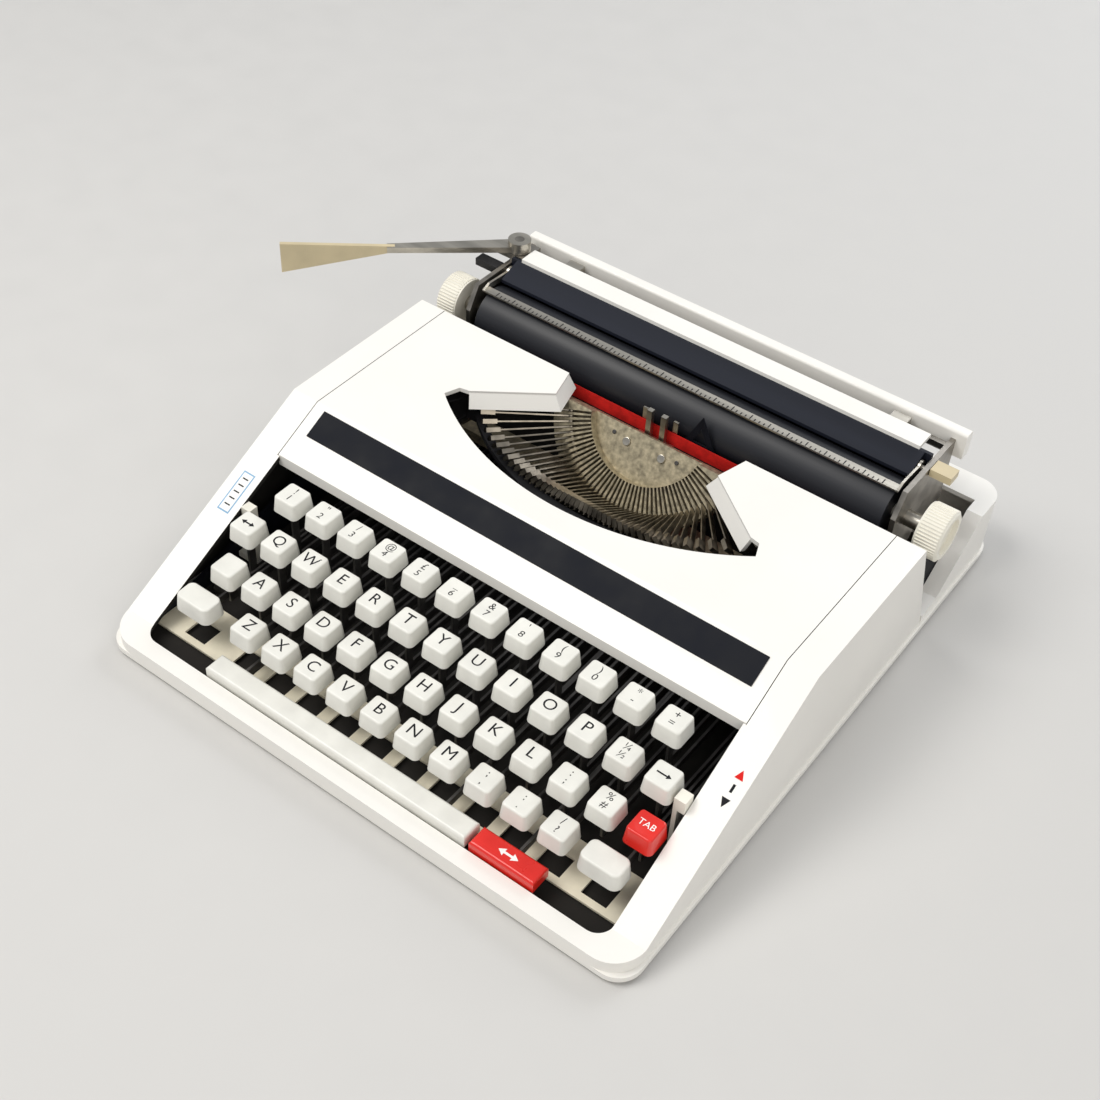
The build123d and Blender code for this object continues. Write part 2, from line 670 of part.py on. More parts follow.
def type_guide(segment):
    """Fork that centres the rising typebar, on a foot behind the segment."""
    foot_z = (GUIDE_PRONG_Z[0] - GUIDE_FOOT_H, GUIDE_PRONG_Z[0])
    fork = block((-FORK_X[1], FORK_X[1]), (GUIDE_FOOT_Y, GUIDE_PRONG_Y[1]), foot_z)
    for sx in (-1, 1):
        limits = sorted((sx * GUIDE_PRONG_X[0], sx * GUIDE_PRONG_X[1]))
        fork += block(limits, GUIDE_PRONG_Y, GUIDE_PRONG_Z)
    return fork - segment


def line_gauge(segment):
    """Open triangle that shows the line, on a stem that passes under the ribbon."""
    mid = (GAUGE_X[0] + GAUGE_X[1]) / 2
    corners = [(GAUGE_X[0], GAUGE_Z[0]), (GAUGE_X[1], GAUGE_Z[0]), (mid, GAUGE_Z[1])]
    low = GAUGE_Z[0] + GAUGE_FOOT_BAR
    hole = [(GAUGE_X[0] + GAUGE_SIDE, low), (GAUGE_X[1] - GAUGE_SIDE, low), (mid, GAUGE_Z[1] - GAUGE_PEAK)]
    rings = [[(x, GAUGE_Y[0], z) for x, z in ring] for ring in (corners, hole)]
    faces = [make_face(Polyline(*ring, close=True)) for ring in rings]
    sheet = [extrude(face, amount=GAUGE_Y[1] - GAUGE_Y[0], dir=(0, 1, 0)) for face in faces]
    stem_x = (mid - GAUGE_STEM_W / 2, mid + GAUGE_STEM_W / 2)
    stem = block(stem_x, GAUGE_Y, (GAUGE_FOOT_Z[0], GAUGE_Z[0]))
    foot = block(stem_x, (GAUGE_FOOT_Y, GAUGE_Y[1]), GAUGE_FOOT_Z)
    return (sheet[0] - sheet[1]) + stem + foot - segment


def ribbon_vibrator():
    """Two forks on a bridge, which lift the ribbon to the printing line."""
    bridge = block((-FORK_X[1], FORK_X[1]), FORK_Y, (FORK_Z[0], FORK_Z[0] + FORK_BRIDGE_H))
    prongs = [block(sorted((sx * FORK_X[0], sx * FORK_X[1])), FORK_Y, FORK_Z) for sx in (-1, 1)]
    return bridge + prongs


def ribbon():
    """Flat band from spool to spool, past the printing point."""
    right = [(RIBBON_GUIDE_X - RIBBON_BEND, RIBBON_Y), (RIBBON_GUIDE_X, RIBBON_TURN_Y),
             (SPOOL_X, SPOOL_Y + SPOOL_R + CONTROL_GAP)]
    path = [(-x, y) for x, y in reversed(right)] + right
    band = path + [(x, y + RIBBON_T) for x, y in reversed(path)]
    return plan_prism(band, (RIBBON_Z, RIBBON_Z + RIBBON_W))


def ribbon_spool(side):
    low = rod_z(side * SPOOL_X, SPOOL_Y, SPOOL_R, (SPOOL_Z, SPOOL_Z + SPOOL_FLANGE))
    high = rod_z(side * SPOOL_X, SPOOL_Y, SPOOL_R, (SPOOL_Z + SPOOL_H - SPOOL_FLANGE, SPOOL_Z + SPOOL_H))
    core = rod_z(side * SPOOL_X, SPOOL_Y, SPOOL_CORE_R, (SPOOL_Z, SPOOL_Z + SPOOL_H))
    bore = rod_z(side * SPOOL_X, SPOOL_Y, SPOOL_BORE_R + RUN_FIT, (SPOOL_Z - 1, SPOOL_Z + SPOOL_H + 1))
    return low + high + core - bore


def spool_cup(side):
    """Dish under a spool, with its spindle and an arm to the side frame."""
    top = SPOOL_Z - CONTROL_GAP
    dish = rod_z(side * SPOOL_X, SPOOL_Y, SPOOL_R + CUP_RIM, (top - CUP_T, top))
    spindle = rod_z(side * SPOOL_X, SPOOL_Y, SPOOL_BORE_R, (top, SPOOL_Z + SPOOL_H))
    edge = SPOOL_X + SPOOL_R - CUP_RIM
    arm = block(sorted((side * edge, side * FRAME_X)), (SPOOL_Y - CUP_RIM, SPOOL_Y + CUP_RIM),
                (FRAME_MID_H - 2 * CUP_RIM, top - CUP_T))
    return dish + spindle + arm


# Ribbon cover
def lobe_strip(shift, z):
    """Plan of a lobe's skirt at one height, moved towards the basket by a shift."""
    rear = (LOBE_REAR_X, COVER_REAR_Y)
    points = [Vector(*LOBE_TIP), Vector(*LOBE_CORNER), Vector(*rear)]
    runs = [(points[1] - points[0]).normalized(), (points[2] - points[1]).normalized()]
    normals = [Vector(-run.Y, run.X) * -1 for run in runs]
    mitre = (normals[0] + normals[1]) / (1 + normals[0].dot(normals[1]))
    out = [normals[0], mitre, normals[1]]
    inner = [p - n * shift for p, n in zip(points, out)]
    outer = [p + n * COVER_T for p, n in zip(inner, out)]
    return make_face(Polyline(*[(p.X, p.Y, z) for p in inner + outer[::-1]], close=True))


def ribbon_cover():
    front_z = slope_z(COVER_FRONT_Y)
    under = COVER_TOP_Z - COVER_T
    bend = KINK_Y + COVER_T * SLOPE_RISE / 2
    inner_z = front_z + COVER_T * SLOPE_RISE - COVER_T * math.hypot(1, SLOPE_RISE)
    outline = [(COVER_FRONT_Y, front_z - COVER_LIP), (COVER_FRONT_Y, front_z), (KINK_Y, COVER_TOP_Z),
               (COVER_REAR_Y, COVER_TOP_Z), (COVER_REAR_Y, COVER_TOP_Z - COVER_REAR_LIP),
               (COVER_REAR_Y - COVER_T, COVER_TOP_Z - COVER_REAR_LIP), (COVER_REAR_Y - COVER_T, under),
               (bend, under), (COVER_FRONT_Y + COVER_T, inner_z),
               (COVER_FRONT_Y + COVER_T, front_z - COVER_LIP)]
    cover = side_prism(outline, (-COVER_HALF_W, COVER_HALF_W))
    tip_y = BASKET_FRONT_Y + BASKET_R - math.sqrt(BASKET_R ** 2 - BASKET_TIP_X ** 2)
    arc = ThreePointArc((-BASKET_TIP_X, tip_y), (0, BASKET_FRONT_Y), (BASKET_TIP_X, tip_y))
    rear = COVER_REAR_Y + COVER_T
    right = [(BASKET_TIP_X, tip_y), BASKET_NOTCH, LOBE_TIP, LOBE_CORNER,
             (LOBE_REAR_X, COVER_REAR_Y), (LOBE_REAR_X, rear)]
    back = Polyline(*right, *[(-x, y) for x, y in reversed(right)])
    cover -= extrude(make_face([arc, back]), amount=2 * COVER_TOP_Z)
    strips = [lobe_strip(0, under + COVER_T / 2), lobe_strip(LOBE_SKIRT_IN, COVER_TOP_Z - LOBE_SKIRT)]
    skirt = loft(strips, ruled=True)
    return cover + skirt + mirror(skirt, about=Plane.YZ)


def cover_stripe():
    """Thin band across the sloping front of the cover."""
    run = math.hypot(1, SLOPE_RISE)
    upper = KINK_Y - STRIPE_FROM / run
    lower = upper - STRIPE_WIDE / run
    lift = STRIPE_T * run
    outline = [(lower, slope_z(lower)), (upper, slope_z(upper)),
               (upper, slope_z(upper) + lift), (lower, slope_z(lower) + lift)]
    return side_prism(outline, (-STRIPE_HALF_W, STRIPE_HALF_W))


# Small controls on the bezels
def bezel_control(side, y, length):
    """A grip beside the keys, on a stem from a foot that runs along the side frame."""
    ys = (y - length / 2, y + length / 2)
    inner = CONTROL_X[0]
    piece = block(CONTROL_X, ys, SELECTOR_Z)
    piece += block((inner, inner + CONTROL_STEM_T), ys, (CONTROL_FOOT_Z[0], SELECTOR_Z[0]))
    piece += block((inner, FRAME_X - CONTROL_GAP), ys, CONTROL_FOOT_Z)
    return piece if side > 0 else mirror(piece, about=Plane.YZ)


# Carriage drive
def mainspring_drum():
    drum = rod_y(DRUM_X, SPINDLE_Z, DRUM_R, DRUM_Y)
    return drum - rod_y(DRUM_X, SPINDLE_Z, SPINDLE_R + RUN_FIT, (DRUM_Y[0] - 1, DRUM_Y[1] + 1))


def toothed_disc(radius, root, teeth, thick):
    """A disc with pointed teeth, lying on Z = 0."""
    step = math.pi / teeth
    rim = [(r * math.cos(k * step), r * math.sin(k * step))
           for k, r in enumerate([radius, root] * teeth)]
    return plan_prism(rim, (0, thick))


def escapement_wheel():
    wide = WHEEL_Y[1] - WHEEL_Y[0]
    wheel = toothed_disc(WHEEL_R, WHEEL_R - TOOTH_H, WHEEL_TEETH, wide)
    wheel -= Cylinder(SPINDLE_R + RUN_FIT, 4 * wide)
    return Pos(WHEEL_X, WHEEL_Y[1], SPINDLE_Z) * Rot(90, 0, 0) * wheel


def bell():
    """Bell cup on a post from the tray floor."""
    cup = rod_z(BELL_X, BELL_Y, BELL_R, (BELL_Z, BELL_Z + BELL_H))
    cup = fillet(cup.edges().sort_by(Axis.Z)[-1], BELL_H / 2)
    cup -= rod_z(BELL_X, BELL_Y, BELL_R - WALL, (BELL_Z - 1, BELL_Z + BELL_H - WALL))
    return cup + rod_z(BELL_X, BELL_Y, BELL_POST_R, (FLOOR_Z, BELL_Z + BELL_H - 1))


# Carriage
def carriage_truck():
    """Channel that straddles the rail and slides along it."""
    half = RAIL_W / 2 + TRUCK_FIT
    top = block((-TRUCK_HALF, TRUCK_HALF), (RAIL_Y - TRUCK_W / 2, RAIL_Y + TRUCK_W / 2),
                (RAIL_Z[1] - TRUCK_FLANGE, TRUCK_TOP))
    return top - block((-2 * TRUCK_HALF, 2 * TRUCK_HALF), (RAIL_Y - half, RAIL_Y + half),
                       (0, RAIL_Z[1] + TRUCK_FIT))


def carriage_frame():
    """Floor plate, two end plates, margin rack and the pins of the carriage's small levers."""
    floor = block((-END_PLATE_X, END_PLATE_X), (END_PLATE[-3][0], CARRIAGE_REAR_Y),
                  (CARRIAGE_PLATE_Z, CARRIAGE_PLATE_Z + CARRIAGE_PLATE_T))
    plate = side_prism(END_PLATE, (END_PLATE_X, END_PLATE_X + END_PLATE_T))
    through = (END_PLATE_X - 1, END_PLATE_X + END_PLATE_T + 1)
    plate -= rod_x(PLATEN_Y, PLATEN_Z, PLATEN_SHAFT_R + RUN_FIT, through)
    plate -= rod_x(PLATEN_Y, FEED_Z, FEED_SHAFT_R + RUN_FIT, through)
    plate += rod_x(BAIL_PIVOT_Y, BAIL_PIVOT_Z, BAIL_PIN_R, (BAIL_HALF - BAIL_ARM_T, END_PLATE_X))
    frame = floor + plate + mirror(plate, about=Plane.YZ)
    frame += block((-END_PLATE_X, END_PLATE_X), (RACK_Y - RACK_W / 2, RACK_Y + RACK_W / 2), RACK_Z)
    outside = END_PLATE_X + END_PLATE_T
    pin = (outside, outside + SIDE_LEVER_GAP + SIDE_LEVER_T)
    frame += rod_x(RELEASE_PIVOT[0], RELEASE_PIVOT[1], SIDE_PIN_R, pin)
    frame += mirror(rod_x(PAPER_RELEASE_PIVOT[0], PAPER_RELEASE_PIVOT[1], SIDE_PIN_R, pin), about=Plane.YZ)
    tab_z = (END_PLATE_TOP, LEVER_Z - LEVER_TAB_GAP)
    frame += block(LEVER_TAB_X, LEVER_TAB_Y, tab_z)
    return frame + rod_z(LEVER_PIVOT[0], LEVER_PIVOT[1], LEVER_PIN_R, (tab_z[0], LEVER_Z + LEVER_HUB_H))


def platen():
    """Rubber roller and the steel shaft pressed through it."""
    shaft = rod_x(PLATEN_Y, PLATEN_Z, PLATEN_SHAFT_R, (-KNOB_X, KNOB_X))
    return [rod_x(PLATEN_Y, PLATEN_Z, PLATEN_R, (-PLATEN_HALF, PLATEN_HALF)) - shaft, shaft]


def platen_knob(side):
    """Knob with fine ribs and a dished end."""
    knob = Pos(0, 0, KNOB_L / 2) * Cylinder(KNOB_R - KNOB_RIB_R, KNOB_L)
    knob = chamfer(knob.edges().group_by(Axis.Z)[-1], KNOB_EDGE)
    knob += [Rot(0, 0, 360 * k / KNOB_RIBS) * Pos(KNOB_R - KNOB_RIB_R, 0, KNOB_L / 2)
             * Cylinder(KNOB_RIB_R, KNOB_L - 2 * KNOB_EDGE) for k in range(KNOB_RIBS)]
    knob -= Pos(0, 0, KNOB_L) * Cylinder(KNOB_DISH_R, 2 * KNOB_DISH)
    return Pos(side * KNOB_X, PLATEN_Y, PLATEN_Z) * Rot(0, side * 90, 0) * knob


def ratchet_wheel():
    wheel = toothed_disc(RATCHET_R, RATCHET_R - TOOTH_H, RATCHET_TEETH, RATCHET_T)
    wheel -= Cylinder(PLATEN_SHAFT_R, 4 * RATCHET_T)
    return Pos(-PLATEN_HALF - RATCHET_T, PLATEN_Y, PLATEN_Z) * Rot(0, 90, 0) * wheel


def feed_rollers():
    """Shaft under the platen with a row of rubber rollers."""
    shaft = rod_x(PLATEN_Y, FEED_Z, FEED_SHAFT_R, (-END_PLATE_X - END_PLATE_T, END_PLATE_X + END_PLATE_T))
    step = 2 * PLATEN_HALF / FEED_ROLLERS
    mids = [-PLATEN_HALF + step * (k + 0.5) for k in range(FEED_ROLLERS)]
    half = FEED_ROLLER_L / 2
    return shaft + [rod_x(PLATEN_Y, FEED_Z, FEED_R, (m - half, m + half)) for m in mids]


def paper_table():
    """Sloping sheet behind the platen, on an apron between the end plates."""
    (y0, z0), (y1, z1) = PAPER_TABLE
    low = PAPER_TABLE_T
    sheet = side_prism([(y0, z0), (y1, z1), (y1, z1 - low), (y0, z0 - low)], (-PAPER_HALF, PAPER_HALF))
    apron_z = (CARRIAGE_PLATE_Z + CARRIAGE_PLATE_T, z1)
    return sheet + block((-END_PLATE_X, END_PLATE_X), (y1, y1 + PAPER_TABLE_T), apron_z)


def paper_rest():
    """Pale strip along the top of the paper table."""
    top = PAPER_TABLE[1][1]
    return block((-PAPER_REST_HALF, PAPER_REST_HALF), (PAPER_REST_Y, PAPER_REST_Y + PAPER_REST_D),
                 (top, top + PAPER_REST_T))


def carriage_rear_cover():
    strip = block(REAR_COVER_X, (CARRIAGE_REAR_Y, CARRIAGE_REAR_Y + REAR_COVER_D),
                  (REAR_COVER_TOP - REAR_COVER_H, REAR_COVER_TOP))
    return fillet(strip.edges().filter_by(Axis.X).group_by(Axis.Z)[-1], REAR_COVER_R)


def paper_bail():
    """Flat scale bar over the platen, on two arms."""
    ys = (BAIL_Y - BAIL_W / 2, BAIL_Y + BAIL_W / 2)
    bail = block((-BAIL_HALF, BAIL_HALF), ys, (BAIL_Z, BAIL_Z + BAIL_T))
    limits = (BAIL_HALF - BAIL_ARM_T, BAIL_HALF)
    half = LEVER_DEPTH / 2
    outline = [(ys[0], BAIL_Z), (ys[0], BAIL_Z + BAIL_T), (ys[1], BAIL_Z + BAIL_T + half),
               (BAIL_PIVOT_Y, BAIL_PIVOT_Z + half), (BAIL_PIVOT_Y, BAIL_PIVOT_Z - half), (ys[1], BAIL_Z)]
    arm = side_prism(outline, limits) + rod_x(BAIL_PIVOT_Y, BAIL_PIVOT_Z, SIDE_HUB_R, limits)
    arm -= rod_x(BAIL_PIVOT_Y, BAIL_PIVOT_Z, BAIL_PIN_R + RUN_FIT, (limits[0] - 1, limits[1] + 1))
    return bail + arm + mirror(arm, about=Plane.YZ)


def return_lever():
    """Line-space lever: a hub on the carriage, a flat arm and an upright paddle."""
    top = LEVER_Z + LEVER_HUB_H
    arm_z = (LEVER_Z + LEVER_TAB_GAP, LEVER_Z + LEVER_TAB_GAP + LEVER_ARM_T)
    half = LEVER_ARM_W / 2
    arm = plan_prism([(0, -half), (LEVER_NECK, -half / 2), (LEVER_NECK, half / 2), (0, half)], arm_z)
    paddle = [(LEVER_NECK - half, arm_z[0]), (LEVER_REACH, top + LEVER_TAB_GAP - PADDLE_H),
              (LEVER_REACH, top + LEVER_TAB_GAP), (LEVER_NECK - half, arm_z[1])]
    face = make_face(Polyline(*[(x, -PADDLE_T / 2, z) for x, z in paddle], close=True))
    lever = arm + extrude(face, amount=PADDLE_T, dir=(0, 1, 0))
    lever += rod_z(0, 0, LEVER_HUB_R, (LEVER_Z, top))
    lever -= rod_z(0, 0, LEVER_PIN_R + RUN_FIT, (LEVER_Z - 1, top + 1))
    return Pos(LEVER_PIVOT[0], LEVER_PIVOT[1], 0) * Rot(0, 0, LEVER_ANGLE) * lever


def margin_stop(x):
    """Slider that rides over the margin rack."""
    half = RACK_W / 2 + CONTROL_GAP
    body = block((x - STOP_L / 2, x + STOP_L / 2), (RACK_Y - half - STOP_WALL, RACK_Y + half + STOP_WALL),
                 (RACK_Z[0], RACK_Z[1] + CONTROL_GAP + STOP_H))
    slot_z = (0, RACK_Z[1] + CONTROL_GAP)
    return body - block((x - STOP_L, x + STOP_L), (RACK_Y - half, RACK_Y + half), slot_z)


def side_lever(pivot, thumb_y, thumb_x):
    """Short lever on the right end plate, with a thumb piece that stands out sideways."""
    inside = END_PLATE_X + END_PLATE_T + SIDE_LEVER_GAP
    limits = (inside, inside + SIDE_LEVER_T)
    half = SIDE_HUB_R / 2
    outline = [(pivot[0] - half, pivot[1] - half), (thumb_y[0], RELEASE_Z[0]), (thumb_y[0], RELEASE_Z[1]),
               (thumb_y[1], RELEASE_Z[1]), (pivot[0] + half, pivot[1] + half)]
    lever = side_prism(outline, limits) + rod_x(pivot[0], pivot[1], SIDE_HUB_R, limits)
    lever -= rod_x(pivot[0], pivot[1], SIDE_PIN_R + RUN_FIT, (limits[0] - 1, limits[1] + 1))
    return lever + block((inside, thumb_x), thumb_y, RELEASE_Z)


# Nodes
def main():
    os.makedirs("parts", exist_ok=True)
    save("base_tray", base_tray())
    save("body_shell", body_shell())
    save("rear_panel", rear_panel())
    save("rubber_feet", *rubber_feet())
    save("case_screws", *case_screws())
    save("side_frames", *side_frames())
    save("fulcrum_shaft", fulcrum_shaft())
    save("carriage_rail", carriage_rail())
    save("key_guide_plate", key_guide_plate())
    letters = {"number_row": (0, range(ROW_KEYS[0])), "upper_row": (1, range(1, ROW_KEYS[1] - 1)),
               "home_row": (2, [i for i in range(1, ROW_KEYS[2] - 1) if i != H_INDEX]),
               "lower_row": (3, range(ROW_KEYS[3]))}
    for name, (row, indices) in letters.items():
        save(name + "_keys", *row_caps(row, indices))
        save(name + "_levers", *row_levers(row, indices))
    save("key_h", *row_caps(2, [H_INDEX]))
    save("key_h_lever", *row_levers(2, [H_INDEX]))
    single = {"margin_release_key": (1, 0), "backspace_key": (1, ROW_KEYS[1] - 1),
              "shift_lock_key": (2, 0), "tab_key": (2, ROW_KEYS[2] - 1)}
    for name, (row, index) in single.items():
        save(name, *row_caps(row, [index]), *row_levers(row, [index]))
    save("space_bar", front_bar(SPACE_BAR_X), *[bar_arm(arm_x(k)) for k in SPACE_ARMS])
    save("repeat_bar", front_bar(REPEAT_BAR_X), *[bar_arm(arm_x(k)) for k in REPEAT_ARMS])
    save("shift_keys", *shift_keys())
    save("shift_frame", *shift_frame())
    segment = type_segment()
    save("type_segment", segment)
    save("typebars", *[typebar(a) for i, a in enumerate(TYPEBAR_ANGLES) if i != H_TYPEBAR])
    save("typebar_h", typebar(TYPEBAR_ANGLES[H_TYPEBAR]))
    save("typebar_rest", typebar_rest())
    save("type_guide", type_guide(segment))
    save("line_gauge", line_gauge(segment))
    save("ribbon_vibrator", ribbon_vibrator())
    save("ribbon", ribbon())
    save("spool_left", ribbon_spool(-1))
    save("spool_right", ribbon_spool(1))
    save("spool_cups", spool_cup(-1), spool_cup(1))
    save("ribbon_cover", ribbon_cover())
    save("cover_stripe", cover_stripe())
    save("ribbon_selector", bezel_control(1, FRONT_Y + SELECTOR_FROM_FRONT, SELECTOR_L))
    save("touch_lever", bezel_control(-1, FRONT_Y + TOUCH_FROM_FRONT, TOUCH_L))
    save("mainspring_drum", mainspring_drum())
    save("escapement_wheel", escapement_wheel())
    save("bell", bell())
    save("carriage_truck", carriage_truck())
    save("carriage_frame", carriage_frame())
    save("platen", *platen())
    save("platen_knobs", platen_knob(-1), platen_knob(1))
    save("ratchet_wheel", ratchet_wheel())
    save("feed_rollers", feed_rollers())
    save("paper_table", paper_table())
    save("paper_rest", paper_rest())
    save("carriage_rear_cover", carriage_rear_cover())
    save("paper_bail", paper_bail())
    save("return_lever", return_lever())
    save("margin_stop_left", margin_stop(STOP_X[0]))
    save("margin_stop_right", margin_stop(STOP_X[1]))
    save("carriage_release", side_lever(RELEASE_PIVOT, RELEASE_Y, RELEASE_X))
    release = side_lever(PAPER_RELEASE_PIVOT, PAPER_RELEASE_Y, PAPER_RELEASE_X)
    save("paper_release", mirror(release, about=Plane.YZ))


main()
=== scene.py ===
import math

import bmesh
import bpy
from mathutils import Matrix, Vector


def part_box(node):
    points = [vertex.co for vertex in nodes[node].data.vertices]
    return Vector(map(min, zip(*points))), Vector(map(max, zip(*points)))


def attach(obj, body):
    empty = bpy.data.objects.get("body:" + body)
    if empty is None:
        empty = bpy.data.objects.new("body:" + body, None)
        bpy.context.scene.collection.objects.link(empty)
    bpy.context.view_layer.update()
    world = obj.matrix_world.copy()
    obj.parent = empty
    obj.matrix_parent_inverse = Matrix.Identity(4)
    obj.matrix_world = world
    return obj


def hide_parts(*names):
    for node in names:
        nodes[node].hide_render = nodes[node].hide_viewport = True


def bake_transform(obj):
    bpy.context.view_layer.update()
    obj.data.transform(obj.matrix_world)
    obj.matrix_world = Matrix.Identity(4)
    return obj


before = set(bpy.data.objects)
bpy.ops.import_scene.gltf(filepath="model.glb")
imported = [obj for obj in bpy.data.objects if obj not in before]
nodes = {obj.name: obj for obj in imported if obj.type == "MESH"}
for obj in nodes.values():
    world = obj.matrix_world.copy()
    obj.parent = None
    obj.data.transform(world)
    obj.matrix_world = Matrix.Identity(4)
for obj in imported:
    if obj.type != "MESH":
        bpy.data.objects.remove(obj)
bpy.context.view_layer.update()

MM = 0.001

# Key banks in millimetres: step from key to key, first x, shift of each bank in steps, y, and height
PITCH = 19.0
FIRST_X = -104.5
BANK_SHIFT = (0.0, -0.518, -0.2425, 1.176)
BANK_Y = (-75.0, -94.6, -113.2, -129.3)
BANK_TOP = (56.0, 46.7, 37.6, 29.1)
BANK_BODY = ("number_row", "upper_row", "home_row", "lower_row")
LEGENDS = (
    ("1", "2", "3", "4", "5", "6", "7", "8", "9", "0", "-", "="),
    ("", "Q", "W", "E", "R", "T", "Y", "U", "I", "O", "P", "½", ""),
    ("", "A", "S", "D", "F", "G", "H", "J", "K", "L", ";", "#", ""),
    ("Z", "X", "C", "V", "B", "N", "M", ",", ".", "?"),
)
UPPER = (
    ("!", "\"", "/", "@", "£", "_", "&", "'", "(", ")", "*", "+"),
    ("", "", "", "", "", "", "", "", "", "", "", "¼", ""),
    ("", "", "", "", "", "", "", "", "", "", ":", "%", ""),
    ("", "", "", "", "", "", "", ";", ":", "/"),
)
# Keys that move by themselves, as row and place in the row
MARGIN_KEY = (1, 0)
BACKSPACE_KEY = (1, 12)
SHIFT_LOCK_KEY = (2, 0)
H_KEY = (2, 6)
TAB_KEY = (2, 12)
SINGLE_BODY = {MARGIN_KEY: "margin_release", BACKSPACE_KEY: "backspace", SHIFT_LOCK_KEY: "shift_lock",
               H_KEY: "h_key", TAB_KEY: "tab"}
# Hollow tops of the caps, and the sizes of what is printed on them
DISH_R = 38.0
DISH = 0.3
INK_RISE = 0.03
LETTER_SIZE = 8.2
LETTER_RISE = 0.3
LETTER_STEPS = 4
PAIR_SIZE = 5.2
PAIR_DROP = 2.4
TAB_SIZE = 4.4
BACKSPACE_ARROW = 7.0
MARGIN_ARROW = 7.5
REPEAT_ARROW = 10.0
REPEAT_X = 76.6
BAR_Y = -146.4
BAR_TOP = 17.0


# Materials
ROUGH_DRIFT = 0.15
GRAIN_DEPTH = 0.0002
NOISE_DETAIL = 5.0
NOISE_LOW = 0.3
NOISE_HIGH = 0.7
BRUSHED_X = (0.05, 1, 1)
WEAVE = 2500.0


def material(name, colour, rough, metal=0.0, coat=0.0, gloss=0.5, vary=0.03, scale=40.0, stretch=(1, 1, 1),
             bump=0.0, bump_scale=900.0):
    """A finish whose colour and roughness drift over the surface, with a fine grain if asked."""
    made = bpy.data.materials.new(name)
    made.use_nodes = True
    tree = made.node_tree
    shader = tree.nodes["Principled BSDF"]
    shader.inputs["Metallic"].default_value = metal
    shader.inputs["Coat Weight"].default_value = coat
    shader.inputs["Specular IOR Level"].default_value = gloss
    place = tree.nodes.new("ShaderNodeTexCoord")
    spread = tree.nodes.new("ShaderNodeMapping")
    spread.inputs["Scale"].default_value = stretch
    tree.links.new(place.outputs["Object"], spread.inputs["Vector"])
    noise = tree.nodes.new("ShaderNodeTexNoise")
    noise.inputs["Scale"].default_value = scale
    noise.inputs["Detail"].default_value = NOISE_DETAIL
    tree.links.new(spread.outputs["Vector"], noise.inputs["Vector"])
    ramp = tree.nodes.new("ShaderNodeValToRGB")
    ramp.color_ramp.elements[0].position = NOISE_LOW
    ramp.color_ramp.elements[1].position = NOISE_HIGH
    ramp.color_ramp.elements[0].color = [c * (1 - vary) for c in colour] + [1]
    ramp.color_ramp.elements[1].color = [min(1, c * (1 + vary)) for c in colour] + [1]
    tree.links.new(noise.outputs["Fac"], ramp.inputs["Fac"])
    tree.links.new(ramp.outputs["Color"], shader.inputs["Base Color"])
    worn = tree.nodes.new("ShaderNodeMapRange")
    worn.inputs["From Min"].default_value = NOISE_LOW
    worn.inputs["From Max"].default_value = NOISE_HIGH
    worn.inputs["To Min"].default_value = rough * (1 - ROUGH_DRIFT)
    worn.inputs["To Max"].default_value = min(1, rough * (1 + ROUGH_DRIFT))
    tree.links.new(noise.outputs["Fac"], worn.inputs["Value"])
    tree.links.new(worn.outputs["Result"], shader.inputs["Roughness"])
    if bump:
        grain = tree.nodes.new("ShaderNodeTexNoise")
        grain.inputs["Scale"].default_value = bump_scale
        tree.links.new(spread.outputs["Vector"], grain.inputs["Vector"])
        lift = tree.nodes.new("ShaderNodeBump")
        lift.inputs["Strength"].default_value = bump
        lift.inputs["Distance"].default_value = GRAIN_DEPTH
        tree.links.new(grain.outputs["Fac"], lift.inputs["Height"])
        tree.links.new(lift.outputs["Normal"], shader.inputs["Normal"])
    return made


IVORY = material("ivory_body", (0.87, 0.85, 0.80), 0.40, coat=0.12, vary=0.02, scale=18.0, bump=0.06)
KEY = material("key_white", (0.79, 0.78, 0.72), 0.36, coat=0.15, vary=0.05, scale=90.0, bump=0.04)
KNOB = material("knob_cream", (0.84, 0.81, 0.71), 0.42, vary=0.05, scale=120.0, bump=0.05)
RED = material("red_plastic", (0.74, 0.018, 0.010), 0.32, coat=0.25, vary=0.06, scale=80.0, bump=0.04)
TRIM = material("black_trim", (0.006, 0.007, 0.011), 0.62, gloss=0.18, vary=0.25, scale=70.0, bump=0.08)
# Near-black painted shade for the hollows and undersides of the casing
INSIDE_SHADE = material("inside_painted_shade", (0.020, 0.018, 0.016), 0.85, gloss=0.2, vary=0.3, scale=60.0)
PAPER_TABLE = material("paper_table_enamel", (0.008, 0.010, 0.018), 0.50, gloss=0.3, vary=0.25, scale=60.0,
                       stretch=BRUSHED_X, bump=0.12, bump_scale=500.0)
RUBBER = material("platen_rubber", (0.012, 0.013, 0.017), 0.48, gloss=0.4, vary=0.3, scale=90.0,
                  stretch=BRUSHED_X, bump=0.1)
BLACK = material("black_plastic", (0.016, 0.016, 0.018), 0.48, gloss=0.35, vary=0.2, scale=80.0)
STEEL = material("steel", (0.52, 0.49, 0.43), 0.33, metal=1.0, vary=0.2, scale=160.0,
                 stretch=BRUSHED_X, bump=0.06)
FRAME_STEEL = material("frame_steel", (0.30, 0.28, 0.25), 0.40, metal=1.0, vary=0.3, scale=110.0, bump=0.08)
# Steel for the type bars, darker than its own tone: part of the colour is painted shade for the deep type
# basket
TYPE_STEEL_SHADED = material("type_steel_painted_shade", (0.36, 0.32, 0.26), 0.33, metal=1.0, vary=0.3, scale=170.0)
DARK_STEEL = material("lever_steel", (0.11, 0.105, 0.10), 0.45, metal=0.8, vary=0.3, scale=130.0)
CAST = material("segment_metal", (0.44, 0.385, 0.27), 0.52, metal=0.75, vary=0.35, scale=420.0, bump=0.35)
